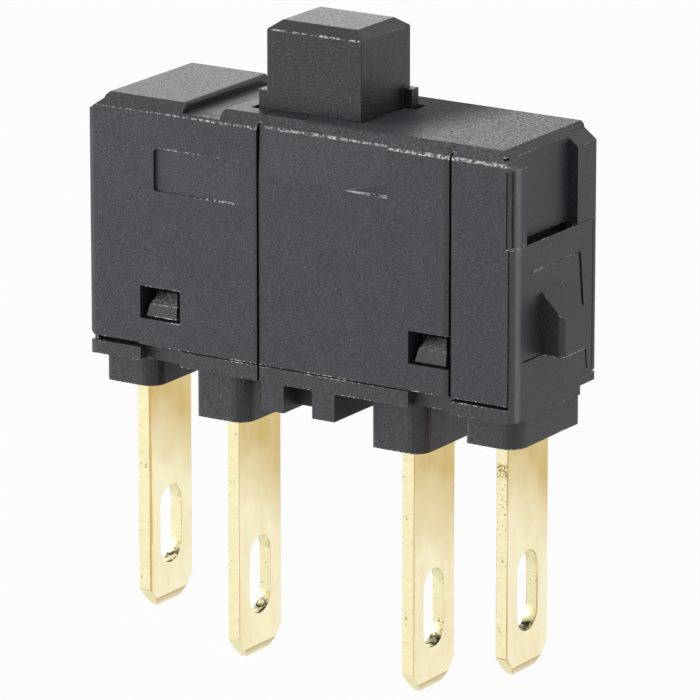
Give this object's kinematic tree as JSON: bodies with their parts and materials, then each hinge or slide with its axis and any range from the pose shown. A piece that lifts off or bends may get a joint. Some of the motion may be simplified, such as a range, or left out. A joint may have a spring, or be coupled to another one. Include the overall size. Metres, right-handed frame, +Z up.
{
  "type": "snap-action microswitch",
  "caption": "Small black snap-action switch: snap-fitted housing, square push plunger, double-break changeover contacts and slotted blade terminals in a row.",
  "frame": {"origin": "centre of the base's flat underside, between the terminal bosses", "axes": "+Z up along the plunger towards its button, X along the row of terminals, -Y towards the housing's front face"},
  "size_m": [0.0198, 0.0058, 0.0245],
  "materials": {
    "cover_plastic": "fine spark-eroded glass-filled plastic, charcoal, light flecks along moulded edges",
    "base_plastic": "glass-filled plastic, charcoal, slightly smoother than the cover",
    "plunger_plastic": "smooth satin plastic, charcoal",
    "spring_steel": "drawn spring wire and strip",
    "bridge_copper": "rolled copper alloy strip, satin",
    "terminal_brass": "bright pale gold plating over stamped brass, sheared edges",
    "contact_silver": "silver alloy contact, satin"
  },
  "bodies": {
    "housing": {"cover": "cover_plastic", "base": "base_plastic", "return_spring": "spring_steel", "nc_terminal_left": "terminal_brass", "nc_terminal_right": "terminal_brass", "no_terminal_left": "terminal_brass", "no_terminal_right": "terminal_brass", "nc_contact_left": "contact_silver", "nc_contact_right": "contact_silver", "no_contact_left": "contact_silver", "no_contact_right": "contact_silver"},
    "plunger": {"plunger": "plunger_plastic", "spring_yoke": "spring_steel", "snap_spring_left": "spring_steel", "snap_spring_right": "spring_steel"},
    "bridge": {"contact_bridge": "bridge_copper", "upper_contact_left": "contact_silver", "upper_contact_right": "contact_silver", "lower_contact_left": "contact_silver", "lower_contact_right": "contact_silver"}
  },
  "joints": [
    {"name": "plunger_slide", "type": "slide", "parent": "housing", "child": "plunger", "axis": [0, 0, -1], "range_m": [0, 0.0016], "stiffness_N_per_m": 1200, "springref_m": -0.001, "deforming": ["return_spring"]},
    {"name": "bridge_slide", "type": "slide", "parent": "plunger", "child": "bridge", "axis": [0, 0, 1], "range_m": [0, 0.0009], "deforming": ["snap_spring_left", "snap_spring_right"]}
  ],
  "couplings": [
    {"joint": "bridge_slide", "follows": "plunger_slide", "ratio": 0.5625}
  ]
}
